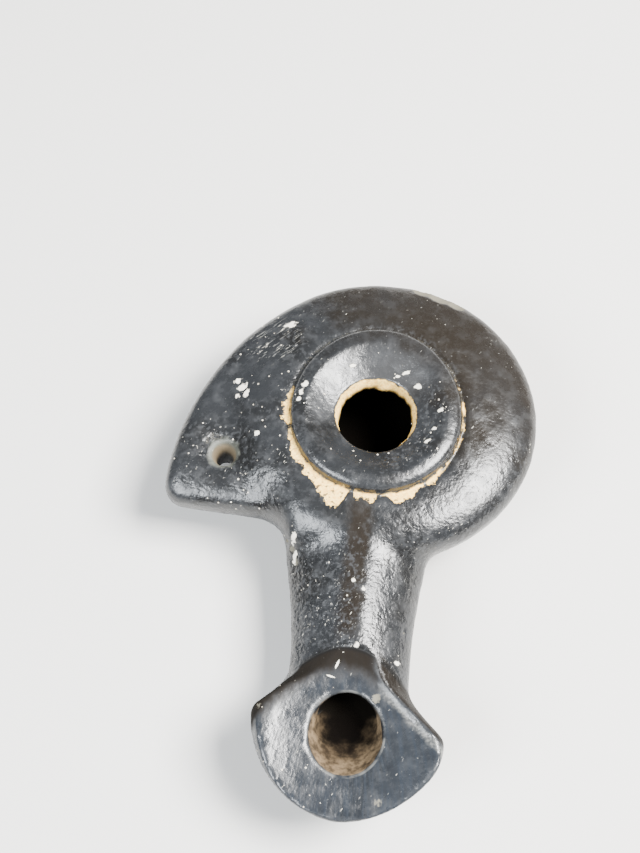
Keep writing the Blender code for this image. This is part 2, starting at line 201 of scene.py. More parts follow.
def turned(profile):
    """A solid turned round the Z axis. The profile runs from the axis, down the outside, to the axis."""
    mesh = bpy.data.meshes.new("turned")
    points = [(radius, 0.0, height) for radius, height in profile]
    mesh.from_pydata(points, [(i, i + 1) for i in range(len(points) - 1)], [])
    obj = add_object("turned", mesh)
    screw = obj.modifiers.new("turn", "SCREW")
    screw.steps = screw.render_steps = TURNED_STEPS
    screw.use_merge_vertices = True
    screw.merge_threshold = 0.00001
    weld = obj.modifiers.new("close the poles", "WELD")
    weld.merge_threshold = 0.00001
    return evaluated_mesh(obj)


def kept_mesh(bm, name):
    """Keeps what was built as a mesh."""
    mesh = bpy.data.meshes.new(name)
    bm.to_mesh(mesh)
    bm.free()
    return mesh


def lofted(rings):
    """A closed solid through rings of as many points each, all turning the same way."""
    bm = bmesh.new()
    loops = [[bm.verts.new(point) for point in ring] for ring in rings]
    for first, second in zip(loops, loops[1:]):
        for i, corner in enumerate(first):
            after = (i + 1) % len(first)
            bm.faces.new((corner, first[after], second[after], second[i]))
    bm.faces.new(loops[0])
    bm.faces.new(loops[-1])
    bmesh.ops.recalc_face_normals(bm, faces=bm.faces)
    return kept_mesh(bm, "lofted")


def oval(centre, half_x, half_y, height):
    """A level ring round a centre in plan."""
    turns = [2 * math.pi * i / HOLE_POINTS for i in range(HOLE_POINTS)]
    return [(centre[0] + half_x * math.cos(t), centre[1] + half_y * math.sin(t), height) for t in turns]


# The clay forms


def body_profile(inset, floor):
    """Half the section of the thrown body, or of its chamber when inset by the wall."""
    count = 24
    crown = SHOULDER_HEIGHT - inset
    belly = BELLY_RADIUS - inset
    base = FOOT_RADIUS - inset
    top = COLLAR_RADIUS - inset
    points = [(0.0, crown)]
    for i in range(count + 1):
        turn = math.radians(90) * (1 - i / count)
        rise = (crown - BELLY_HEIGHT) * math.sin(turn)
        points.append((top + (belly - top) * math.cos(turn), BELLY_HEIGHT + rise))
    for i in range(1, count + 1):
        share = i / count
        points.append((belly - (belly - base) * share**BASE_CURVE, between(BELLY_HEIGHT, floor, share)))
    points.append((0.0, floor))
    return points


def slump(mesh):
    """Moves the belly off the axis, and leaves the foot and the shoulder's top where they are."""
    for vertex in mesh.vertices:
        above = vertex.co.z > BELLY_HEIGHT
        span = SHOULDER_HEIGHT - BELLY_HEIGHT if above else BELLY_HEIGHT - FOOT_HEIGHT
        share = 1 - ease(abs(vertex.co.z - BELLY_HEIGHT) / span)
        vertex.co.x += BELLY_SHIFT.x * share
        vertex.co.y += BELLY_SHIFT.y * share
    return mesh


def root_share(y):
    """0 where the nozzle leaves the belly, 1 where it has taken its own width."""
    return min(max((BELLY_SHIFT.y - BELLY_RADIUS - y) / ROOT_LENGTH, 0.0), 1.0)


def neck_section(y):
    """The nozzle's section at this place along it: half-width, top, side and bottom heights, roof powers."""
    neck_start = FLUKE_Y + FLARE_LENGTH
    out = (y + BELLY_RADIUS / 2) / (neck_start + BELLY_RADIUS / 2)
    end = (y - neck_start) / (FLUKE_Y - neck_start)
    half = NECK_HALF_WIDTH + ROOT_FLARE * (1 - root_share(y)) ** 2
    side = NECK_SIDE_HEIGHT + (FLUKE_SIDE_HEIGHT - NECK_SIDE_HEIGHT) * ease(end)
    low = NECK_UNDERSIDE + (END_UNDERSIDE - NECK_UNDERSIDE) * ease(end)
    top = between(RIDGE_ROOT_HEIGHT, RIDGE_END_HEIGHT, min(out, 1.0))
    left_power = between(RIDGE_SHARPNESS, FLUKE_EDGE_POWER, ease(end))
    rolled = between(FLUKE_ROLL_POWER, FLUKE_EDGE_POWER, ease((FLUKE_Y - y) / FLUKE_ROLL_LENGTH))
    right_power = between(RIDGE_SHARPNESS, rolled, ease(end))
    if end > 0:
        half += (FLUKE_HALF_WIDTH - NECK_HALF_WIDTH) * min(end, 1.0) ** 1.7
    if end > 1:
        tip = min((FLUKE_Y - y) / TIP_LENGTH, 1.0)
        narrowing = max(1 - tip**TIP_POWER, 0.0) ** (1 / TIP_POWER)
        half *= narrowing
        low = between(side, low, narrowing**0.8)
    return half, top, side, low, left_power, right_power


def nozzle_ring(y):
    """The points of one section of the nozzle."""
    half, top, side, low, left_power, right_power = neck_section(y)
    shift = between(ROOT_SHIFT, NECK_SHIFT, root_share(y))
    shift *= 1 - ease((FLUKE_Y + FLARE_LENGTH - y) / FLARE_LENGTH)
    skew = FLUKE_SKEW * ease((y + BELLY_RADIUS) / (FLUKE_Y + BELLY_RADIUS))
    skew *= 1 - ease((FLUKE_Y - y) / TIP_LENGTH)
    ring = []
    for i in range(SECTION_POINTS):
        turn = 2 * math.pi * i / SECTION_POINTS
        across, up = math.cos(turn), math.sin(turn)
        roof = right_power if across > 0 else left_power
        bend = roof if up >= 0 else UNDERSIDE_POWER
        x = half * math.copysign(abs(across) ** (2 / bend), across)
        rise = abs(up) ** (2 / bend)
        z = side + (top - side) * rise if up >= 0 else side - (side - low) * rise
        lean = RIDGE_SIDE * rise if up >= 0 else 0.0
        ring.append((x + shift + lean, y - x * skew, z))
    return ring


def nozzle_form():
    """The nozzle as pulled, before its end is trimmed. It starts inside the body."""
    straight, rounded = 44, 26
    start = -BELLY_RADIUS / 2
    ys = [between(start, FLUKE_Y, i / straight) for i in range(straight + 1)]
    for i in range(1, rounded):
        ys.append(FLUKE_Y - TIP_LENGTH * math.sin(math.radians(89.0) * i / (rounded - 1)))
    return lofted([nozzle_ring(y) for y in ys])


def lug_outline():
    """The lug from above: a spiral off the belly, a rounded tip, and a front edge webbed to the nozzle."""
    points = []
    for i in range(41):
        share = i / 40
        turn = between(LUG_START, LUG_END, share)
        radius = BELLY_RADIUS + LUG_SEAM * ease(4 * share) + LUG_PROUD * share**LUG_SPIRAL
        points.append(BELLY_SHIFT + radius * Vector((math.cos(turn), math.sin(turn))))
    front = LUG_TIP.y - LUG_TIP_RADIUS - LUG_FRONT_SLOPE
    for i in range(1, 9):
        turn = math.radians(90) * i / 8
        x = LUG_TIP.x + LUG_TIP_RADIUS * (1 - math.cos(turn))
        points.append(Vector((x, LUG_TIP.y - LUG_TIP_RADIUS * math.sin(turn))))
    corner = ROOT_SHIFT - NECK_HALF_WIDTH - ROOT_FLARE
    for i in range(9):
        turn = math.radians(90) * i / 8
        x = corner - LUG_WEB * (1 - math.sin(turn))
        points.append(Vector((x, front - LUG_WEB * (1 - math.cos(turn)))))
    points.append(Vector((corner + LUG_WEB, front - LUG_WEB)))
    points.append(Vector((0.0, 0.0)))
    return points


def lug_form():
    """The lug: its outline as a plate with round edges, thinner towards the tip."""
    curve = bpy.data.curves.new("lug", "CURVE")
    curve.dimensions = "2D"
    curve.fill_mode = "BOTH"
    curve.extrude = LUG_THICKNESS / 2 - LUG_EDGE
    curve.bevel_depth = LUG_EDGE
    curve.bevel_resolution = 6
    curve.offset = -LUG_EDGE
    outline = lug_outline()
    spline = curve.splines.new("POLY")
    spline.points.add(len(outline) - 1)
    for place, point in zip(spline.points, outline):
        place.co = (point.x, point.y, 0.0, 1.0)
    spline.use_cyclic_u = True
    mesh = evaluated_mesh(add_object("lug", curve))
    for vertex in mesh.vertices:
        out = (vertex.co.xy.length - BELLY_RADIUS / 2) / (BELLY_RADIUS / 2 + LUG_PROUD)
        thickness = between(LUG_THICKNESS, LUG_TIP_THICKNESS, ease(out))
        middle = LUG_HEIGHT + LUG_LIFT * (1 - ease(out))
        vertex.co.z = middle + vertex.co.z * thickness / LUG_THICKNESS
    return mesh


def foot_form():
    """The flat disc foot."""
    profile = [
        (0.0, FLOOR - CLEAR),
        (FOOT_RADIUS - FOOT_EDGE, FLOOR - CLEAR),
        (FOOT_RADIUS, FOOT_HEIGHT),
        (FOOT_RADIUS, FOOT_EDGE),
        (FOOT_RADIUS - FOOT_EDGE, 0.0),
        (0.0, 0.0),
    ]
    return turned(profile)


def drawn_back(mesh):
    """Draws out the back of a turned ring. The filling hole inside it stays round."""
    for vertex in mesh.vertices:
        share = (vertex.co.xy.length - FILLING_RADIUS) / (COLLAR_RADIUS - FILLING_RADIUS)
        if vertex.co.y > 0:
            vertex.co.y *= 1 + COLLAR_DRAW * min(max(share, 0.0), 1.0)
    return mesh


def collar_form():
    """The collar's ring before it is dished: a low drum with a rounded crest."""
    edge = CREST_HEIGHT - COLLAR_EDGE_DROP
    profile = [(0.0, CREST_HEIGHT), (CREST_RADIUS, CREST_HEIGHT)]
    for i in range(1, 11):
        turn = math.radians(90) * i / 10
        out = between(CREST_RADIUS, COLLAR_RADIUS, math.sin(turn))
        profile.append((out, between(edge, CREST_HEIGHT, math.cos(turn))))
    profile += [(COLLAR_RADIUS, CEILING + CLEAR), (0.0, CEILING + CLEAR)]
    return drawn_back(turned(profile))


# The cuts


def groove_cutter():
    """The groove at the collar's foot."""
    low = SHOULDER_HEIGHT - GROOVE_DEPTH
    profile = [
        (COLLAR_RADIUS, ABOVE_CREST),
        (COLLAR_RADIUS + GROOVE_WIDTH, ABOVE_CREST),
        (COLLAR_RADIUS + GROOVE_WIDTH, SHOULDER_HEIGHT),
        (COLLAR_RADIUS + GROOVE_WIDTH / 2, low),
        (COLLAR_RADIUS, low),
        (COLLAR_RADIUS, ABOVE_CREST),
    ]
    return drawn_back(turned(profile))


def filling_cutter():
    """The dish inside the collar, and the filling hole below it, as one turned form."""
    rim = CREST_HEIGHT - DISH_DEPTH
    profile = [(0.0, ABOVE_CREST), (CREST_RADIUS, ABOVE_CREST), (CREST_RADIUS, CREST_HEIGHT)]
    for i in range(1, 17):
        share = i / 16
        radius = between(CREST_RADIUS, FILLING_RADIUS, share)
        profile.append((radius, CREST_HEIGHT - DISH_DEPTH * (1 - (1 - share) ** 1.4) ** 1.25))
    profile[-1] = (FILLING_RADIUS, rim)
    profile += [(FILLING_RADIUS - FILLING_TAPER, CEILING - CLEAR), (0.0, CEILING - CLEAR)]
    return drawn_back(turned(profile))


def plate_height(x, y):
    """Height of the trimmed surface over a place in plan."""
    past = -PLATE_BACK - y
    slope = 2 * (RIDGE_END_HEIGHT - PLATE_HEIGHT) / PLATE_SCOOP
    if past < 0:
        height = RIDGE_END_HEIGHT - slope * past
    elif past < PLATE_SCOOP:
        height = between(PLATE_HEIGHT, RIDGE_END_HEIGHT, (1 - past / PLATE_SCOOP) ** 2)
    else:
        height = PLATE_HEIGHT - PLATE_FALL * (past - PLATE_SCOOP) / (NOZZLE_REACH - PLATE_BACK - PLATE_SCOOP)
    past_lip = (y + LIP_START + LIP_SLOPE * x) / math.hypot(1.0, LIP_SLOPE)
    lip = LIP_RISE * ease(past_lip / LIP_WIDTH + 0.5) * ease((x - LIP_NEAR) / (LIP_FULL - LIP_NEAR))
    return height + PLATE_CURL * (abs(x) / FLUKE_HALF_WIDTH) ** PLATE_CURL_POWER + lip


def plate_cutter():
    """What the knife took off the nozzle's end: a sheet with the plate's surface below, pulled up."""
    half = FLUKE_HALF_WIDTH + 4 * CLEAR
    back, front = -PLATE_BACK + PLATE_SCOOP, TIP_Y - 4 * CLEAR
    bm = bmesh.new()
    bmesh.ops.create_grid(bm, x_segments=72, y_segments=72, size=1.0)
    for vertex in bm.verts:
        vertex.co.x *= half
        vertex.co.y = between(front, back, (vertex.co.y + 1) / 2)
        vertex.co.z = plate_height(vertex.co.x, vertex.co.y)
    raised = bmesh.ops.extrude_face_region(bm, geom=bm.faces[:])["geom"]
    for vertex in (item for item in raised if isinstance(item, bmesh.types.BMVert)):
        vertex.co.z = CREST_HEIGHT + 10 * CLEAR
    bmesh.ops.recalc_face_normals(bm, faces=bm.faces)
    return kept_mesh(bm, "plate cut")


def chamber_cutter():
    """The oil chamber inside the body."""
    return slump(turned(body_profile(WALL, FLOOR)))


def channel_cutter():
    """The channel from the chamber to below the wick hole."""
    section = oval((0.0, CHANNEL_HEIGHT), CHANNEL_HALF_WIDTH, CHANNEL_HALF_HEIGHT, 0.0)
    return lofted([[(x, y, z) for x, z, _ in section] for y in (-BELLY_RADIUS / 2, WICK_Y)])


def wick_cutter():
    """The wick hole: an oval funnel whose floor slopes up to the tip."""
    low = CHANNEL_HEIGHT - CHANNEL_HALF_HEIGHT - 0.3 * CLEAR
    rings = []
    for i in range(11):
        share = i / 10
        size = between(WICK_FLOOR_SHARE, 1.0, math.sin(math.radians(90) * share))
        centre = (0.0, WICK_Y + (1 - size) * WICK_HALF_LENGTH * WICK_LEAN)
        height = between(low, PLATE_HEIGHT, share)
        rings.append(oval(centre, WICK_HALF_WIDTH * size, WICK_HALF_LENGTH * size, height))
    top = PLATE_HEIGHT + 4 * CLEAR
    rings.append(oval((0.0, WICK_Y), WICK_HALF_WIDTH * 1.05, WICK_HALF_LENGTH * 1.05, top))
    return lofted(rings)


def lug_hole_cutter():
    """The hole for a cord through the lug, worn wide at both mouths."""
    half = LUG_THICKNESS / 2 + CLEAR
    rings = []
    for i in range(21):
        share = i / 10 - 1
        wear = LUG_HOLE_WEAR if share > 0 else LUG_HOLE_WEAR / 3
        radius = LUG_HOLE_RADIUS + wear * ease((abs(share) - 0.3) / 0.5)
        rings.append(oval(LUG_HOLE, radius, radius, LUG_HEIGHT + half * share))
    return lofted(rings)


# One skin


def joined_clay():
    """Body, nozzle and lug luted together, with clay smoothed into the joints."""
    bm = bmesh.new()
    for mesh in (slump(turned(body_profile(0.0, FOOT_HEIGHT / 2))), nozzle_form(), lug_form()):
        bm.from_mesh(mesh)
    bmesh.ops.remove_doubles(bm, verts=bm.verts, dist=0.000001)
    skin = add_object("joined clay", kept_mesh(bm, "joined clay"))
    remesh = skin.modifiers.new("one skin", "REMESH")
    remesh.mode = "VOXEL"
    remesh.voxel_size = JOINING_VOXEL
    skin = add_object("joined clay", evaluated_mesh(skin))
    joints = skin.vertex_groups.new(name="joints")
    for vertex in skin.data.vertices:
        away = abs((vertex.co.xy - BELLY_SHIFT).length - BELLY_RADIUS)
        joints.add([vertex.index], max(0.1, 1 - ease(away / JOINING_REACH)), "REPLACE")
    smooth = skin.modifiers.new("smoothed joints", "SMOOTH")
    smooth.factor = 0.5
    smooth.iterations = JOINING_STEPS
    smooth.vertex_group = "joints"
    return evaluated_mesh(skin)


def cut_lamp():
    """The joined clay with its foot, collar and every cut."""
    lamp = add_object("lamp", joined_clay())
    steps = (
        ("DIFFERENCE", plate_cutter()),
        ("UNION", foot_form()),
        ("UNION", collar_form()),
        ("DIFFERENCE", groove_cutter()),
        ("DIFFERENCE", filling_cutter()),
        ("DIFFERENCE", chamber_cutter()),
        ("DIFFERENCE", channel_cutter()),
        ("DIFFERENCE", wick_cutter()),
        ("DIFFERENCE", lug_hole_cutter()),
    )
    helpers = []
    for operation, mesh in steps:
        helper = add_object("helper", mesh)
        modifier = lamp.modifiers.new("cut", "BOOLEAN")
        modifier.operation = operation
        modifier.object = helper
        helpers.append(helper)
    mesh = evaluated_mesh(lamp)
    for helper in helpers:
        bpy.data.objects.remove(helper)
    return mesh


def fine_skin():
    """The cut lamp as one even, fine mesh whose edges are worn a little round."""
    lamp = add_object("fine skin", cut_lamp())
    remesh = lamp.modifiers.new("fine skin", "REMESH")
    remesh.mode = "VOXEL"
    remesh.voxel_size = SKIN_VOXEL
    smooth = lamp.modifiers.new("worn edges", "SMOOTH")
    smooth.factor = 0.5
    smooth.iterations = SKIN_STEPS
    return evaluated_mesh(lamp)


# Hand marks, chips and dents


def points_of(mesh):
    """The mesh's points and their normals, as arrays."""
    count = len(mesh.vertices)
    points = np.empty(count * 3)
    normals = np.empty(count * 3)
    mesh.vertices.foreach_get("co", points)
    mesh.vertices.foreach_get("normal", normals)
    return points.reshape(-1, 3), normals.reshape(-1, 3)


def lumps(points, size, seed):
    """Even noise of about -1 to 1 at each point, with lumps of this size."""
    offset = Vector((seed * 17.3, seed * 5.1, seed * 11.7))
    return np.array([noise.noise(Vector(point / size) + offset) for point in points])


def scoop(points, middle, radius):
    """Presses the points inside a ball out to its surface, as a flake leaves a hollow."""
    away = points - np.array(middle)
    distance = np.linalg.norm(away, axis=1)
    inside = (distance < radius) & (distance > 0)
    moved = points.copy()
    moved[inside] = np.array(middle) + away[inside] * (radius / distance[inside])[:, None]
    return moved, inside


def bowed(points, place, reach, depth):
    """How deep a soft thumb dent is at each point, with its middle at a place in plan."""
    distance = np.hypot(points[:, 0] - place[0], points[:, 1] - place[1])
    return depth * (1 - ease_all(distance / reach))


UNEVENNESS = ((0.16, 14, 1), (0.07, 5, 2), (0.03, 1.8, 3))  # height and width of the lumps in mm, and a seed
LUG_DENT_REACH = 8.0 * MM
LUG_DENT_DEPTH = 0.8 * MM
CHIPS = (  # x, y and z near the surface, depth, radius of the hollow in mm, and how much bare clay shows
    (7.6, 31.8, 18.6, 0.6, 5.0, 1.0),
    (11.0, 30.6, 18.2, 0.8, 6.5, 1.0),
    (14.4, 29.2, 18.8, 0.6, 4.6, 1.0),
    (9.6, 31.0, 19.6, 0.4, 2.2, 1.0),
    (4.9, -54.6, 17.8, 0.35, 1.4, 0.7),
    (-16.6, -57.4, 19.0, 0.4, 1.6, 0.4),
    (-31.4, -6.4, 18.4, 0.7, 0.9, 0.0),
    (-32.2, -7.6, 18.4, 0.6, 0.8, 0.0),
    (-30.0, -6.2, 18.4, 0.5, 0.8, 0.0),
    (6.6, -72.2, 16.8, 0.18, 2.0, 0.55),
    (-13.6, -24.6, 15.5, 0.3, 1.0, 0.6),
    (-13.2, -26.6, 15.2, 0.35, 1.1, 0.6),
    (-12.6, -29.3, 15.0, 0.3, 1.0, 0.6),
    (9.9, -41.0, 17.0, 0.2, 1.0, 0.5),
)


def chip_balls(points, normals):
    """The ball that leaves each chip, on the surface's own normal: its middle, radius and bare share."""
    balls = []
    for x, y, z, depth, radius, bare in CHIPS:
        nearest = int(np.argmin(np.linalg.norm(points - np.array((x, y, z)) * MM, axis=1)))
        middle = points[nearest] + normals[nearest] * (radius - depth) * MM
        balls.append((tuple(middle), radius * MM, bare))
    return balls


def uneven_clay(points, normals):
    """Moves the points as an uneven hand left them, less and less towards the foot."""
    above = ease_all((points[:, 2] - 1.5 * MM) / (3 * MM))
    uneven = sum(height * lumps(points, width * MM, seed) for height, width, seed in UNEVENNESS)
    return points + normals * (uneven * above * MM)[:, None]


def dent_lug(points):
    """Sinks the top of the lug round its hole, and softens its front edge."""
    upper = ease_all((points[:, 2] - LUG_HEIGHT + CLEAR) / (3.5 * MM))
    front = ease_all((LUG_ROLL_BACK - points[:, 1]) / LUG_ROLL_WIDTH)
    front = LUG_ROLL * front * ease_all((LUG_ROLL_RIGHT - points[:, 0]) / LUG_ROLL_WIDTH)
    points[:, 2] -= upper * (bowed(points, LUG_HOLE, LUG_DENT_REACH, LUG_DENT_DEPTH) + front)


def tear_rim(points):
    """Bites into the inner edge of the filling hole."""
    radius = np.hypot(points[:, 0], points[:, 1])
    in_hole = (radius < FILLING_RADIUS + 0.4 * MM) & (points[:, 2] > CEILING - 2 * CLEAR)
    torn = ease_all((SHOULDER_HEIGHT - 0.6 * MM - points[:, 2]) / (2.2 * MM)) * in_hole
    bites = 0.34 * lumps(points * np.array((1, 1, 0.3)), 1.3 * MM, 4) + 0.5 * lumps(points, 5.0 * MM, 5)
    points[:, :2] *= (1 + torn * bites * MM / np.maximum(radius, MM))[:, None]


def hand_marks(mesh):
    """Uneven hand work, dents, the filling hole's torn edge and chips. Returns where clay is broken."""
    points, normals = points_of(mesh)
    points = uneven_clay(points, normals)
    dent_lug(points)
    tear_rim(points)
    broken = np.zeros(len(points))
    for middle, size, bare in chip_balls(points, normals):
        points, inside = scoop(points, middle, size)
        broken[inside] = bare
    rough = lumps(points, 0.9 * MM, 6) * broken
    points = points + normals * (0.08 * MM * rough)[:, None]
    mesh.vertices.foreach_set("co", points.ravel())
    mesh.update()
    return broken


def neighbour_mean(mesh):
    """A function that gives each point the mean of its neighbours' values."""
    count = len(mesh.vertices)
    ends = np.empty(len(mesh.edges) * 2, dtype=np.int64)
    mesh.edges.foreach_get("vertices", ends)
    first, second = ends[0::2], ends[1::2]
    near = np.bincount(first, minlength=count) + np.bincount(second, minlength=count)

    def neighbours(values):
        total = np.bincount(first, values[second], count) + np.bincount(second, values[first], count)
        return total / near

    return neighbours


def softened(values, neighbours, steps):
    """The values blurred over the skin."""
    for _ in range(steps):
        values = 0.5 * values + 0.5 * neighbours(values)
    return values


def edge_share(mesh, neighbours):
    """How much each point stands out from its neighbours: above 0 on an edge, below 0 in a hollow."""
    points, normals = points_of(mesh)
    middle = np.stack([neighbours(points[:, axis]) for axis in range(3)], axis=1)
    share = np.einsum("ij,ij->i", points - middle, normals) / (0.03 * MM)
    return softened(share, neighbours, 6)


def inside_share(mesh):
    """1 on the walls of the oil chamber and the channel, which face their middles, and 0 on the outside."""
    points, normals = points_of(mesh)
    out = points - np.array((BELLY_SHIFT.x, BELLY_SHIFT.y, BELLY_HEIGHT * 0.7))
    facing_in = np.einsum("ij,ij->i", out, normals) < 0
    near = np.hypot(out[:, 0], out[:, 1]) < BELLY_RADIUS - WALL / 2
    level = (points[:, 2] > FLOOR / 2) & (points[:, 2] < CEILING + CLEAR)
    chamber = facing_in & near & level
    up = points[:, 2] - CHANNEL_HEIGHT
    round_channel = np.hypot(points[:, 0] / CHANNEL_HALF_WIDTH, up / CHANNEL_HALF_HEIGHT) < 1.25
    facing_channel = points[:, 0] * normals[:, 0] + up * normals[:, 2] < 0
    along = (points[:, 1] < -BELLY_RADIUS / 2) & (points[:, 1] > WICK_Y + WICK_HALF_LENGTH * 0.6)
    return (chamber | (round_channel & facing_channel & along)).astype(float)


def write_share(mesh, name, values):
    """Keeps a number for each point with the mesh, for the finishes to read."""
    attribute = mesh.attributes.new(name, "FLOAT", "POINT")
    attribute.data.foreach_set("value", np.asarray(values, dtype=np.float32))


# Shader maths


class Wire:
    """A socket of a finish. Sums on wires and numbers add the maths nodes that work them out."""

    def __init__(self, paint, socket):
        self.paint = paint
        self.socket = socket

    def __add__(self, other):
        return self.paint.maths("ADD", self, other)

    def __radd__(self, other):
        return self.paint.maths("ADD", other, self)

    def __sub__(self, other):
        return self.paint.maths("SUBTRACT", self, other)

    def __rsub__(self, other):
        return self.paint.maths("SUBTRACT", other, self)

    def __mul__(self, other):
        return self.paint.maths("MULTIPLY", self, other)

    def __rmul__(self, other):
        return self.paint.maths("MULTIPLY", other, self)

    def __truediv__(self, other):
        return self.paint.maths("DIVIDE", self, other)

    def __neg__(self):
        return self.paint.maths("MULTIPLY", self, -1.0)

    def __abs__(self):
        return self.paint.maths("ABSOLUTE", self)


class Paint:
    """A node-based finish that is written as sums on wires."""

    def __init__(self, name):
        self.material = bpy.data.materials.new(name)
        self.material.use_nodes = True
        self.tree = self.material.node_tree
        self.shader = self.tree.nodes["Principled BSDF"]
        self.place = self.node("ShaderNodeTexCoord", output="Object")

    def fill(self, socket, value):
        """Links a wire to a socket, or sets its value."""
        if isinstance(value, Wire):
            self.tree.links.new(value.socket, socket)
        else:
            socket.default_value = value

    def node(self, kind, settings=None, sockets=None, output=0):
        """Any node: its settings first, then its sockets. Returns the wire of one output."""
        made = self.tree.nodes.new(kind)
        for name, value in (settings or {}).items():
            if name == "stops":
                self.set_stops(made.color_ramp, value)
            else:
                setattr(made, name, value)
        for name, value in (sockets or {}).items():
            self.fill(made.inputs[name], value)
        return Wire(self, made.outputs[output])

    def set_stops(self, ramp, stops):
        """Gives a ramp its stops: position and grey value, or position and colour."""
        while len(ramp.elements) > 1:
            ramp.elements.remove(ramp.elements[-1])
        for i, (position, value) in enumerate(stops):
            stop = ramp.elements[0] if i == 0 else ramp.elements.new(position)
            stop.position = position
            stop.color = (value, value, value, 1.0) if isinstance(value, float) else (*value, 1.0)

    def maths(self, operation, first, second=0.0):
        """A Math node."""
        return self.node("ShaderNodeMath", {"operation": operation}, {0: first, 1: second})

    def step(self, value, low, high):
        """0 below low, 1 above high, with a soft change between them."""
        settings = {"interpolation_type": "SMOOTHSTEP"}
        return self.node("ShaderNodeMapRange", settings, {"Value": value, "From Min": low, "From Max": high})

    def mix(self, share, first, second):
        """One colour into another."""
        first, second = (item if isinstance(item, Wire) else (*item, 1.0) for item in (first, second))
        return self.node("ShaderNodeMix", {"data_type": "RGBA"}, {0: share, 6: first, 7: second}, 2)

    def span(self, x, y):
        """The distance that x and y, across each other, make."""
        return self.maths("SQRT", x * x + y * y)

    def biggest(self, *wires):
        """The largest of several shares."""
        most = wires[0]
        for wire in wires[1:]:
            most = self.maths("MAXIMUM", most, wire)
        return most

    def grain(self, size, detail=2.0, place=None, shift=0.0):
        """Noise of 0 to 1 round 0.5, with lumps of this many millimetres."""
        sockets = {"Scale": 1 / (size * MM), "Detail": detail}
        sockets["Vector"] = self.moved(place or self.place, shift)
        return self.node("ShaderNodeTexNoise", None, sockets)

    def moved(self, place, shift):
        """The place moved by a length in every direction, so that two grains don't match."""
        return self.node("ShaderNodeVectorMath", {"operation": "ADD"}, {0: place, 1: (shift, shift, shift)})

    def vector(self, x, y, z):
        """A vector of three wires or numbers."""
        return self.node("ShaderNodeCombineXYZ", None, {0: x, 1: y, 2: z})

    def stretched(self, degrees, longer):
        """The place turned about Z and squeezed, so that a grain on it draws strokes."""
        turned_place = {
            "Vector": self.place,
            "Rotation": (0.0, 0.0, math.radians(degrees)),
            "Scale": (1.0, longer, 1.0),
        }
        return self.node("ShaderNodeMapping", {"vector_type": "TEXTURE"}, turned_place)

    def share(self, name):
        """A number kept with the mesh."""
        return self.node("ShaderNodeAttribute", {"attribute_name": name}, output="Fac")


# Finishes

SLIP_BLUE = (0.014, 0.015, 0.0165)
SLIP_BLACK = (0.006, 0.006, 0.006)
SLIP_BROWN = (0.013, 0.0102, 0.0074)
SLIP_GREY = (0.048, 0.050, 0.053)
PLATE_BLUE = (0.015, 0.0185, 0.024)
APEX_BROWN = (0.009, 0.007, 0.005)
SPECK_GREY = (0.16, 0.16, 0.15)
CLAY = (0.82, 0.48, 0.125)
CLAY_PALE = (0.96, 0.68, 0.22)
CLAY_GREY = (0.16, 0.148, 0.115)
CLAY_BROWN = (0.17, 0.11, 0.055)
HOLE_BROWN = (0.13, 0.10, 0.06)
WORN_GREEN = (0.115, 0.120, 0.095)
# black: soot and painted shade deep in the wick hole, and painted shade deep in the cord hole
SOOT_AND_SHADE = (0.0015, 0.001, 0.0007)
LIME = (0.76, 0.72, 0.62)
WICK_GOLD = (0.17, 0.12, 0.07)
WICK_BROWN = (0.055, 0.040, 0.025)
# near black: painted shade for the inside of the oil chamber and the channel
CHAMBER_SHADE = (0.002, 0.0015, 0.001)

GROOVE_WEAR = (  # degrees round the collar, and how far clay shows beyond its groove, in mm
    (0, 0.5), (28, 0.25), (45, 0.0), (158, 0.0), (168, 0.5), (176, 0.7), (183, 1.5), (188, 1.2), (194, 0.2),
    (206, 0.9), (213, 1.5), (232, 1.5), (238, 2.0), (244, 3.4), (250, 4.5), (255, 4.2), (256.5, 0.4),
    (260, 0.0), (262, 1.1), (267, 1.6), (273, 1.3), (276, 0.2), (282, 0.2), (285, 1.6), (291, 2.0),
    (298, 1.4), (302, 0.5), (307, 1.2), (314, 0.9), (322, 0.4), (334, 0.2), (348, 0.45),
)
GROOVE_WEAR_MOST = 5.0
GROOVE_RING = 17.4  # the middle of the groove, in mm from the axis
ARCH_TOP = -45.8  # the arch behind the plate: its top along the nozzle, its middle across it, and its bend
ARCH_MIDDLE = -1.0
ARCH_BEND = 0.045
SCORED_PLACE = (-22.5, 15.5)  # the middle of the scratched patch on the left shoulder, in mm
SCORED_REACH = 7.0
LIME_SPOTS = (  # x and y, half length and half width, turn in degrees, all in mm
    (-19.0, 19.5, 1.35, 0.75, 15), (-28.2, 5.9, 0.7, 0.6, 0), (-26.9, 4.6, 1.1, 0.8, 50),
    (-25.9, 2.9, 1.0, 0.45, 70), (-27.7, 2.6, 0.5, 0.5, 0), (-14.3, 3.9, 0.75, 0.55, 60),
    (-15.2, 0.7, 0.55, 0.5, 0), (-14.9, 2.2, 0.4, 0.6, 0), (7.7, 6.6, 0.65, 0.65, 0),
    (5.2, 9.3, 0.7, 0.4, 20), (-5.5, 9.6, 0.7, 0.35, 20), (3.6, 8.6, 0.45, 0.3, 0),
    (12.4, 1.2, 0.5, 0.5, 0), (11.4, -2.6, 0.45, 0.4, 0), (10.2, -5.4, 0.7, 0.3, 40),
    (-22.6, -6.0, 0.5, 0.6, 0), (-2.6, -48.9, 0.8, 0.18, 70), (-1.2, -33.6, 0.45, 0.35, 0),
    (8.2, -47.2, 0.55, 0.5, 0), (0.6, -45.6, 0.5, 0.5, 0), (-3.6, -51.2, 0.8, 0.14, 170),
    (0.9, -35.2, 0.35, 0.3, 0), (-13.3, -25.4, 0.5, 0.9, 0), (-12.8, -28.2, 0.4, 1.2, 0),
)


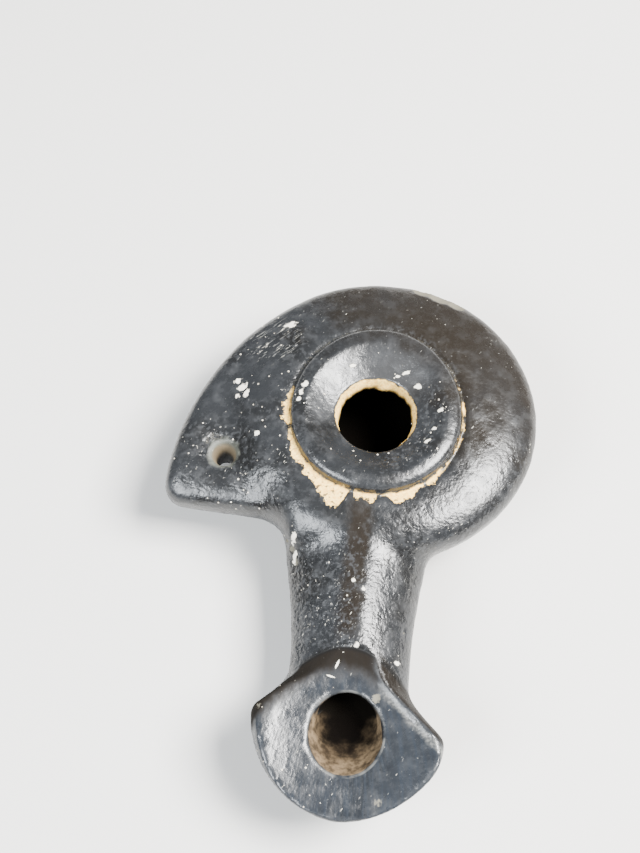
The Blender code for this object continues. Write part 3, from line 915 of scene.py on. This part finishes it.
class Lamp:
    """The places on the lamp that its finishes are laid out by, in millimetres, and the grains they share."""

    def __init__(self, paint):
        scaled = paint.node("ShaderNodeVectorMath", {"operation": "SCALE"}, {0: paint.place, "Scale": 1 / MM})
        parts = [paint.node("ShaderNodeSeparateXYZ", None, {0: scaled}, axis) for axis in "XYZ"]
        self.x, self.y, self.z = parts
        self.cloudy = paint.grain(11.0, 3.0, shift=0.02)
        self.mottled = paint.grain(2.4, 4.0, shift=0.05)
        self.fine = paint.grain(0.5, 3.0, shift=0.08)
        self.edge = paint.share("edge")
        self.broken = paint.share("broken")
        self.inside = paint.share("inside")
        drawn = self.y / (1.0 + COLLAR_DRAW * paint.step(self.y, 0.0, 3.0))
        self.radius = paint.span(self.x, self.y)
        self.ring = paint.span(self.x, drawn)
        self.turn = paint.maths("FRACT", paint.maths("ARCTAN2", self.y, self.x) / (2 * math.pi) + 1.0)
        from_wick = self.y - WICK_Y / MM
        self.wick_turn = paint.maths("ARCTAN2", from_wick, self.x)
        self.wick_share = paint.span(self.x / (WICK_HALF_WIDTH / MM), from_wick / (WICK_HALF_LENGTH / MM))
        self.hole_away = paint.span(self.x - LUG_HOLE.x / MM, self.y - LUG_HOLE.y / MM)
        arch_x = self.x - ARCH_MIDDLE
        self.past_arch = ARCH_TOP - arch_x * arch_x * ARCH_BEND - self.y
        self.past_lip = (self.y + LIP_START / MM + self.x * LIP_SLOPE) / math.hypot(1.0, LIP_SLOPE)
        self.on_end = paint.step(self.z, 15.2, 15.8)
        band = paint.step(self.past_lip, -0.6, 0.2) * paint.step(3.2 - self.past_lip, 0.0, 1.0)
        roll = band * paint.step(self.x, 3.0, 6.0)
        self.plate = paint.step(self.past_arch, 0.0, 0.5) * self.on_end * (1.0 - roll)
        self.rolled = roll * paint.step(self.z, 12.5, 14.5)
        self.brown = brown_share(paint, self)
        self.ridge = ridge_share(paint, self)
        self.apex = apex_share(paint, self)


def brown_share(paint, lamp):
    """Where the slip fired brown: the back and the right of the body."""
    return paint.step(lamp.x * 0.6 + lamp.y * 0.8 + (lamp.cloudy - 0.5) * 36, 0.0, 24.0)


def ridge_share(paint, lamp):
    """The dull brown band along the nozzle's ridge."""
    away = abs(lamp.x + 1.2 + (lamp.mottled - 0.5) * 3.5)
    ridge = paint.step(3.4 - away, 0.0, 2.4) * paint.step(-15.0 - lamp.y, 0.0, 6.0)
    return ridge * paint.step(-lamp.past_arch, 0.0, 4.0) * paint.step(lamp.z, 16.0, 18.0)


def apex_share(paint, lamp):
    """The dull brown patch below the point of the arch."""
    below = paint.step(6.5 - lamp.past_arch + (lamp.mottled - 0.5) * 3, 0.0, 4.0)
    return below * lamp.plate * paint.step(9.0 - lamp.x, 0.0, 6.0)


def collar_wear(paint, lamp):
    """Where clay shows in the groove round the collar."""
    stops = [(degrees / 360, reach / GROOVE_WEAR_MOST) for degrees, reach in GROOVE_WEAR]
    reach = paint.node("ShaderNodeValToRGB", {"stops": stops}, {0: lamp.turn}) * GROOVE_WEAR_MOST
    ragged = (paint.grain(1.9, 3.0) - 0.5) * 3.4 + (paint.grain(0.45, 3.0, shift=0.017) - 0.5) * 1.6
    outer = paint.step(reach + 17.1 + ragged * paint.step(reach, 0.0, 1.2) - lamp.ring, 0.0, 0.35)
    inner = paint.step(lamp.ring + ragged * 0.25, 16.75, 17.05)
    kept = paint.step(paint.grain(0.8, 4.0, shift=0.027), 0.59, 0.63) * paint.step(lamp.ring, 17.2, 18.2)
    broken_line = paint.step(reach - 0.28 + (paint.grain(1.6, 3.0, shift=0.037) - 0.5) * 1.4, 0.0, 0.25)
    return outer * inner * (1.0 - kept * 0.85) * broken_line * paint.step(lamp.z, 20.5, 21.5)


def lime_spots(paint, lamp):
    """The larger spots of lime."""
    ragged = (paint.grain(0.8, 3.0, shift=0.013) - 0.5) * 2.2
    total = 0.0
    for spot_x, spot_y, length, width, degrees in LIME_SPOTS:
        turn = math.radians(degrees)
        off_x = lamp.x - spot_x
        off_y = lamp.y - spot_y
        along = (off_x * math.cos(turn) + off_y * math.sin(turn)) / length
        across = (off_y * math.cos(turn) - off_x * math.sin(turn)) / width
        spot = paint.step(1.1 - paint.span(along, across) + ragged, 0.0, 0.4)
        total = paint.maths("MAXIMUM", spot, total)
    return total * paint.step(lamp.z, 13.0, 14.0)


def fleck_places(paint, lamp):
    """Where fine pale flecks lie thick: lug, nozzle's left flank, right of the dish, front shoulder."""
    left = paint.step(-8.0 - lamp.x, -4.0, 12.0) * paint.step(lamp.cloudy, 0.34, 0.60) * 0.78
    flank = paint.step(2.0 - lamp.x, 0.0, 3.0) * paint.step(-22.0 - lamp.y, 0.0, 6.0)
    flank = flank * paint.step(lamp.y, -56.0, -44.0)
    front = paint.step(lamp.x * 0.6 - lamp.y * 0.8, 15.0, 24.0) * paint.step(30.0 + lamp.y, 0.0, 6.0) * 0.7
    dish = paint.step(15.0 - lamp.radius, 0.0, 3.0) * paint.step(lamp.x * 0.9 - lamp.y * 0.4, 3.0, 9.0)
    groove = paint.step(1.6 - abs(lamp.ring - GROOVE_RING), 0.0, 1.2) * paint.step(lamp.y, 4.0, 12.0)
    most = paint.biggest(left, front, dish, groove * 0.5, flank)
    return (most * 0.9 + 0.1) * (1.0 - lamp.plate * 0.6)


def flecks(paint, lamp, where):
    """Fine pale flecks and scratches, thick in some places and thin in others."""
    size = (where - 0.5) * 0.05 + (paint.grain(5.0, 3.0, shift=0.043) - 0.5) * 0.22
    dots = paint.step(paint.grain(0.55, 3.0, shift=0.031) + size, 0.71, 0.76)
    strokes = paint.step(paint.grain(0.34, 1.0, paint.stretched(-30, 5.0), 0.047) + size, 0.74, 0.79)
    scored = paint.step(paint.grain(0.26, 2.0, paint.stretched(-48, 16.0), 0.083) + size, 0.58, 0.64)
    away = paint.span(lamp.x - SCORED_PLACE[0], lamp.y - SCORED_PLACE[1])
    scored = scored * paint.step(SCORED_REACH - away, 0.0, 3.5)
    return paint.biggest(dots, strokes * 0.7, scored * 0.7)


def slip_colour(paint, lamp, strokes, where, pale):
    """The slip: blue-black, browner at the back and along the ridge, greyer where it is rubbed thin, with a
    painted highlight along the plate's right edge and a painted sheen at the back of the dish.
    """
    brown = paint.biggest(lamp.brown * 0.8, lamp.ridge * 0.85, lamp.apex * 0.7)
    slip = paint.mix(paint.step(lamp.cloudy, 0.38, 0.66), SLIP_BLUE, SLIP_BLACK)
    slip = paint.mix(brown, slip, SLIP_BROWN)
    slip = paint.mix(paint.step(lamp.mottled, 0.44, 0.80) * (0.34 - brown * 0.24), slip, SLIP_GREY)
    grainy = paint.step(paint.grain(0.8, 4.0, shift=0.033), 0.50, 0.66)
    slip = paint.mix(grainy * where * 0.6, slip, SLIP_GREY)
    slip = paint.mix(paint.step(lamp.edge + (lamp.fine - 0.5) * 1.2, 0.40, 1.4) * 0.6, slip, SLIP_GREY)
    slip = paint.mix(lamp.plate * (0.45 + 0.5 * paint.step(strokes, 0.40, 0.70)), slip, PLATE_BLUE)
    # Painted highlight: a pale grey streak just inside the plate's rolled right edge, standing in for the
    # light's reflection there.
    sheen_streak_away = abs(lamp.past_lip + 1.3 + (lamp.mottled - 0.5) * 1.4)
    lip = paint.step(1.0 - sheen_streak_away, 0.0, 0.9) * paint.step(lamp.x, 4.5, 7.0) * lamp.on_end
    slip = paint.mix(lip * (0.25 + 0.4 * paint.step(lamp.fine, 0.42, 0.6)), slip, SPECK_GREY)
    slip = paint.mix(lamp.apex * 0.9, slip, APEX_BROWN)
    slip = paint.mix(lamp.rolled * 0.9, slip, APEX_BROWN)
    # Painted sheen: the back of the dish is lightened towards grey where it would catch a reflection.
    painted_dish_sheen = paint.step(14.0 - lamp.ring, 0.0, 3.0) * paint.step(lamp.y - lamp.x * 0.5, 0.0, 5.0)
    slip = paint.mix(painted_dish_sheen * 0.5, slip, SLIP_GREY)
    arch = paint.step(0.9 - abs(lamp.past_arch - 0.2), 0.0, 0.8) * paint.step(lamp.z, 15.0, 16.0)
    slip = paint.mix(arch * 0.8, slip, SLIP_BLACK)
    dusty = paint.step(-0.35 - lamp.edge, 0.0, 0.8) * paint.step(lamp.fine, 0.4, 0.7)
    slip = paint.mix(dusty * 0.25, slip, CLAY_GREY)
    chalk = paint.mix(paint.step(paint.grain(1.4, 2.0, shift=0.055), 0.50, 0.66), SPECK_GREY, LIME)
    return paint.mix(pale * 0.85, slip, chalk)


def bare_clay(paint, lamp):
    """Fired clay with its grit."""
    clay = paint.mix(paint.step(lamp.fine, 0.35, 0.65), CLAY, CLAY_PALE)
    return paint.mix(paint.step(paint.grain(0.8, 2.0, shift=0.061), 0.58, 0.70) * 0.45, clay, CLAY_BROWN)


def filling_wall(paint, lamp):
    """The wall of the filling hole, where the slip stops at the rim."""
    ragged = (paint.grain(1.3, 3.0, shift=0.011) - 0.5) * 0.7
    kept = 0.35 * paint.step(-lamp.y, 2.0, 6.0)
    return paint.step(8.05 - kept - lamp.radius + ragged, 0.0, 0.2) * paint.step(lamp.z, 16.0, 17.0)


def smoked_clay(paint, lamp):
    """The wick hole's wall: gold and brown where the light reaches, black lower down, partly soot and partly
    painted shade deep in the hole.
    """
    grit = (paint.grain(0.9, 4.0, shift=0.019) - 0.5) * 0.8
    smoked = paint.mix(paint.step(lamp.mottled + grit, 0.30, 0.70), WICK_BROWN, WICK_GOLD)
    return paint.mix(paint.step(lamp.z + (lamp.mottled - 0.5) * 3.0, 9.6, 16.0), SOOT_AND_SHADE, smoked)


def fine_relief(paint, lamp, strokes, where, raised):
    """Grain, pits and brush strokes too fine for the mesh, as a bump, with what is raised or sunk."""
    height = (lamp.fine - 0.5) * 0.018 * (1.0 - lamp.plate * 0.8) + (lamp.mottled - 0.5) * 0.14
    neck = paint.step(-24.0 - lamp.y, 0.0, 8.0)
    pits = (paint.grain(0.85, 2.0, shift=0.091) - 0.5) * (0.045 + 0.10 * where + 0.10 * neck)
    height = height + pits * (1.0 - lamp.plate * 0.7) + raised + lamp.plate * (strokes - 0.5) * 0.03
    return paint.node("ShaderNodeBump", None, {"Strength": 1.0, "Distance": MM, "Height": height}, "Normal")


def slip_and_clay():
    """Black slip with a soft shine over beige clay, which shows where the slip has worn or broken away."""
    paint = Paint("black slip over clay")
    lamp = Lamp(paint)
    brushed = paint.vector(lamp.x * MM + lamp.wick_turn * 0.003, lamp.y * 0.12 * MM, 0.0)
    strokes = paint.grain(0.7, 3.0, brushed)
    where = fleck_places(paint, lamp)
    pale = flecks(paint, lamp, where)
    lime = lime_spots(paint, lamp)
    worn = paint.biggest(collar_wear(paint, lamp), filling_wall(paint, lamp))
    wick = paint.step(1.01 - lamp.wick_share + (lamp.mottled - 0.5) * 0.10, 0.0, 0.05)
    wick = wick * paint.step(lamp.z, 8.0, 9.0)
    # Painted highlight: a thin pale ring just outside the wick hole's rim.
    wick_rim_highlight = paint.step(0.045 - abs(lamp.wick_share - 1.035), 0.0, 0.03) * lamp.plate
    hole = paint.step(2.6 - lamp.hole_away, 0.0, 0.5)
    hole_rim = paint.step(3.6 - lamp.hole_away + (lamp.mottled - 0.5) * 3.2, 0.0, 1.2)
    fresh = paint.step(lamp.broken + (lamp.fine - 0.5) * 0.8, 0.30, 0.55)

    colour = slip_colour(paint, lamp, strokes, where, pale)
    # Painted highlight round the wick hole's rim.
    colour = paint.mix(wick_rim_highlight * paint.step(lamp.mottled, 0.35, 0.6) * 0.5, colour, SPECK_GREY)
    colour = paint.mix(worn, colour, bare_clay(paint, lamp))
    colour = paint.mix(wick, colour, smoked_clay(paint, lamp))
    colour = paint.mix(hole_rim * 0.65, colour, WORN_GREEN)
    # Painted shade: the cord hole's wall goes from brown at the top to black lower down, where it lies in
    # shade.
    colour = paint.mix(hole, colour, paint.mix(paint.step(lamp.z, 13.5, 18.5), SOOT_AND_SHADE, HOLE_BROWN))
    colour = paint.mix(fresh * 0.9, colour, CLAY_GREY)
    colour = paint.mix(lime, colour, LIME)
    # Painted shade: the walls of the oil chamber and the channel are near black, as they lie in shade inside
    # the lamp.
    colour = paint.mix(lamp.inside, colour, CHAMBER_SHADE)

    rough = paint.biggest(worn, wick, lime, pale, fresh, hole_rim * 0.6, lamp.apex * 0.7)
    gloss = 0.27 + (lamp.mottled - 0.5) * 0.40 + (lamp.fine - 0.5) * 0.14
    bump = fine_relief(paint, lamp, strokes, where, pale * 0.03 + lime * 0.10 - worn * 0.06)
    paint.fill(paint.shader.inputs["Base Color"], colour)
    paint.fill(paint.shader.inputs["Roughness"], gloss + rough * (0.85 - gloss))
    paint.fill(paint.shader.inputs["Normal"], bump)
    paint.shader.inputs["IOR"].default_value = 1.5

    dry_sockets = {"Base Color": colour, "Roughness": 1.0, "Specular IOR Level": 0.05, "Normal": bump}
    dry = paint.node("ShaderNodeBsdfPrincipled", None, dry_sockets)
    dulled = paint.biggest(lamp.apex * 0.95, lamp.rolled * 0.75, lamp.ridge * 0.8, lamp.brown * 0.35)
    matt = paint.biggest(worn, wick, lamp.inside, fresh, dulled)
    slipped = Wire(paint, paint.shader.outputs[0])
    both = paint.node("ShaderNodeMixShader", None, {0: matt, 1: slipped, 2: dry})
    paint.fill(paint.tree.nodes["Material Output"].inputs["Surface"], both)
    return paint.material


def lime_crust():
    """Off-white lime, dry and matt."""
    paint = Paint("lime crust")
    mottled = paint.grain(0.4, 3.0)
    colour = paint.mix(paint.step(mottled, 0.35, 0.7), (0.34, 0.30, 0.24), LIME)
    paint.fill(paint.shader.inputs["Base Color"], colour)
    paint.fill(paint.shader.inputs["Roughness"], 0.75 + mottled * 0.2)
    return paint.material


# Pieces


def make_lamp():
    """The lamp itself."""
    mesh = fine_skin()
    broken = hand_marks(mesh)
    neighbours = neighbour_mean(mesh)
    write_share(mesh, "broken", softened(broken, neighbours, 2))
    write_share(mesh, "edge", edge_share(mesh, neighbours))
    write_share(mesh, "inside", softened(inside_share(mesh), neighbours, 2))
    mesh.shade_smooth()
    mesh.materials.clear()
    mesh.materials.append(slip_and_clay())
    lamp = add_object("fired_lamp", mesh)
    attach(lamp, "root")
    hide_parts("oil_lamp")
    return lamp


def crumb_density(points):
    """How thickly crumbs of lime sit at each point of the lamp: most beside the larger spots."""
    density = np.zeros(len(points))
    for spot_x, spot_y, length, _, _ in LIME_SPOTS:
        away = np.hypot(points[:, 0] / MM - spot_x, points[:, 1] / MM - spot_y)
        density = np.maximum(density, 1 - ease_all((away - length) / 2.5))
    lug = 0.35 * ease_all((-14 - points[:, 0] / MM) / 8)
    neck = 0.3 * ease_all((2 - points[:, 0] / MM) / 6) * ease_all((-24 - points[:, 1] / MM) / 4)
    dish = 0.25 * (np.hypot(points[:, 0], points[:, 1]) < 15 * MM)
    top = points[:, 2] > BELLY_HEIGHT - 1 * MM
    away_from_wick = np.hypot(points[:, 0], points[:, 1] - WICK_Y) > 8.5 * MM
    return np.max([density, lug, neck, dish], axis=0) * top * away_from_wick


CRUMB_SIZES = {"Crumbs per square metre": 130000.0, "Crumb radius": 0.13 * MM, "Flatness": 0.4}


def crumb_tree(material):
    """Geometry Nodes that scatter small flat crumbs over a skin, by CRUMB_SIZES."""
    tree = bpy.data.node_groups.new("lime crumbs", "GeometryNodeTree")
    tree.interface.new_socket("Skin", in_out="INPUT", socket_type="NodeSocketGeometry")
    tree.interface.new_socket("Crumbs", in_out="OUTPUT", socket_type="NodeSocketGeometry")
    for name in CRUMB_SIZES:
        tree.interface.new_socket(name, in_out="INPUT", socket_type="NodeSocketFloat")
    nodes = {}

    def add(name, kind, sockets=None, **settings):
        nodes[name] = tree.nodes.new(kind)
        for key, value in settings.items():
            setattr(nodes[name], key, value)
        for socket, value in (sockets or {}).items():
            nodes[name].inputs[socket].default_value = value

    add("in", "NodeGroupInput")
    add("out", "NodeGroupOutput")
    add("density", "GeometryNodeInputNamedAttribute", {"Name": "crumbs"}, data_type="FLOAT")
    add("thickness", "ShaderNodeMath", operation="MULTIPLY")
    add("scatter", "GeometryNodeDistributePointsOnFaces", {"Seed": 7})
    add("crumb", "GeometryNodeMeshIcoSphere", {"Subdivisions": 1})
    add("squash", "ShaderNodeCombineXYZ", {"X": 1.0, "Y": 1.0})
    add("flat", "GeometryNodeTransform")
    add("size", "FunctionNodeRandomValue", {2: 0.4, 3: 1.8, "Seed": 3}, data_type="FLOAT")
    add("stick", "GeometryNodeInstanceOnPoints")
    add("real", "GeometryNodeRealizeInstances")
    add("finish", "GeometryNodeSetMaterial", {"Material": material})
    links = (
        ("density", 0, "thickness", 0),
        ("in", 1, "thickness", 1),
        ("in", 0, "scatter", "Mesh"),
        ("thickness", 0, "scatter", "Density"),
        ("in", 2, "crumb", "Radius"),
        ("in", 3, "squash", "Z"),
        ("crumb", 0, "flat", "Geometry"),
        ("squash", 0, "flat", "Scale"),
        ("scatter", "Points", "stick", "Points"),
        ("flat", 0, "stick", "Instance"),
        ("scatter", "Rotation", "stick", "Rotation"),
        ("size", 1, "stick", "Scale"),
        ("stick", 0, "real", 0),
        ("real", 0, "finish", 0),
        ("finish", 0, "out", 0),
    )
    for start, output, end, socket in links:
        tree.links.new(nodes[start].outputs[output], nodes[end].inputs[socket])
    return tree


def make_crumbs(lamp):
    """Crumbs of lime that still stick to the slip."""
    skin = lamp.data.copy()
    points, _ = points_of(skin)
    write_share(skin, "crumbs", crumb_density(points))
    base = add_object("skin for crumbs", skin)
    modifier = base.modifiers.new("lime crumbs", "NODES")
    modifier.node_group = crumb_tree(lime_crust())
    for item in modifier.node_group.interface.items_tree:
        if item.name in CRUMB_SIZES:
            modifier[item.identifier] = CRUMB_SIZES[item.name]
    crumbs = add_object("lime_crumbs", evaluated_mesh(base))
    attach(crumbs, "root")


# Floor, light and camera

VIEW_AZIMUTH = math.radians(6)
VIEW_ELEVATION = math.radians(64)
VIEW_DISTANCE = 250 * MM
VIEW_TARGET = Vector((-10.55, -3.85, 22.7)) * MM
VIEW_FOCAL_PIXELS = 1292
PICTURE_HEIGHT = 853
SENSOR = 36.0
FLOOR_REACH = 6.0
FLOOR_COLOUR = (0.62, 0.61, 0.59, 1.0)
LIGHT_TARGET = Vector((0.0, -0.02, 0.02))
LIGHT_DISTANCE = 0.7
LIGHT_SIZE = 0.34
FILL_COLOUR = (0.93, 0.95, 1.0, 1.0)
FILL_STRENGTH = 0.31


def make_floor():
    """A plain pale floor."""
    mesh = bpy.data.meshes.new("floor")
    corners = [(x * FLOOR_REACH, y * FLOOR_REACH, 0) for x, y in ((-1, -1), (1, -1), (1, 1), (-1, 1))]
    mesh.from_pydata(corners, [], [(0, 1, 2, 3)])
    floor = add_object("floor", mesh)
    material = bpy.data.materials.new("pale floor")
    material.use_nodes = True
    shader = material.node_tree.nodes["Principled BSDF"]
    shader.inputs["Base Color"].default_value = FLOOR_COLOUR
    shader.inputs["Roughness"].default_value = 0.9
    mesh.materials.append(material)


def soft_light(name, direction, power, colour):
    """A square soft light that faces the lamp from a direction."""
    data = bpy.data.lights.new(name, "AREA")
    data.size = LIGHT_SIZE
    data.energy = power
    data.color = colour
    light = bpy.data.objects.new(name, data)
    bpy.context.scene.collection.objects.link(light)
    way = Vector(direction).normalized()
    light.location = LIGHT_TARGET + way * LIGHT_DISTANCE
    light.rotation_euler = way.to_track_quat("Z", "Y").to_euler()


def make_lights():
    """A strong soft light from the right, a weaker one from the front, and an even fill."""
    soft_light("right light", (0.57, 0.05, 0.82), 34.0, (1.0, 0.99, 0.97))
    soft_light("front light", (-0.52, -0.52, 0.68), 11.0, (0.90, 0.95, 1.0))
    world = bpy.data.worlds.new("studio")
    world.use_nodes = True
    background = world.node_tree.nodes["Background"]
    background.inputs["Color"].default_value = FILL_COLOUR
    background.inputs["Strength"].default_value = FILL_STRENGTH
    bpy.context.scene.world = world


def make_camera():
    """The camera, where the photograph was taken from."""
    data = bpy.data.cameras.new("camera")
    data.sensor_width = SENSOR
    data.sensor_fit = "AUTO"
    data.lens = VIEW_FOCAL_PIXELS / PICTURE_HEIGHT * SENSOR
    data.clip_start = 0.01
    camera = bpy.data.objects.new("camera", data)
    bpy.context.scene.collection.objects.link(camera)
    level = math.cos(VIEW_ELEVATION)
    back = Vector((math.sin(VIEW_AZIMUTH) * level, -math.cos(VIEW_AZIMUTH) * level, math.sin(VIEW_ELEVATION)))
    camera.location = VIEW_TARGET + back * VIEW_DISTANCE
    camera.rotation_euler = back.to_track_quat("Z", "Y").to_euler()
    bpy.context.scene.camera = camera


make_crumbs(make_lamp())
make_floor()
make_lights()
make_camera()
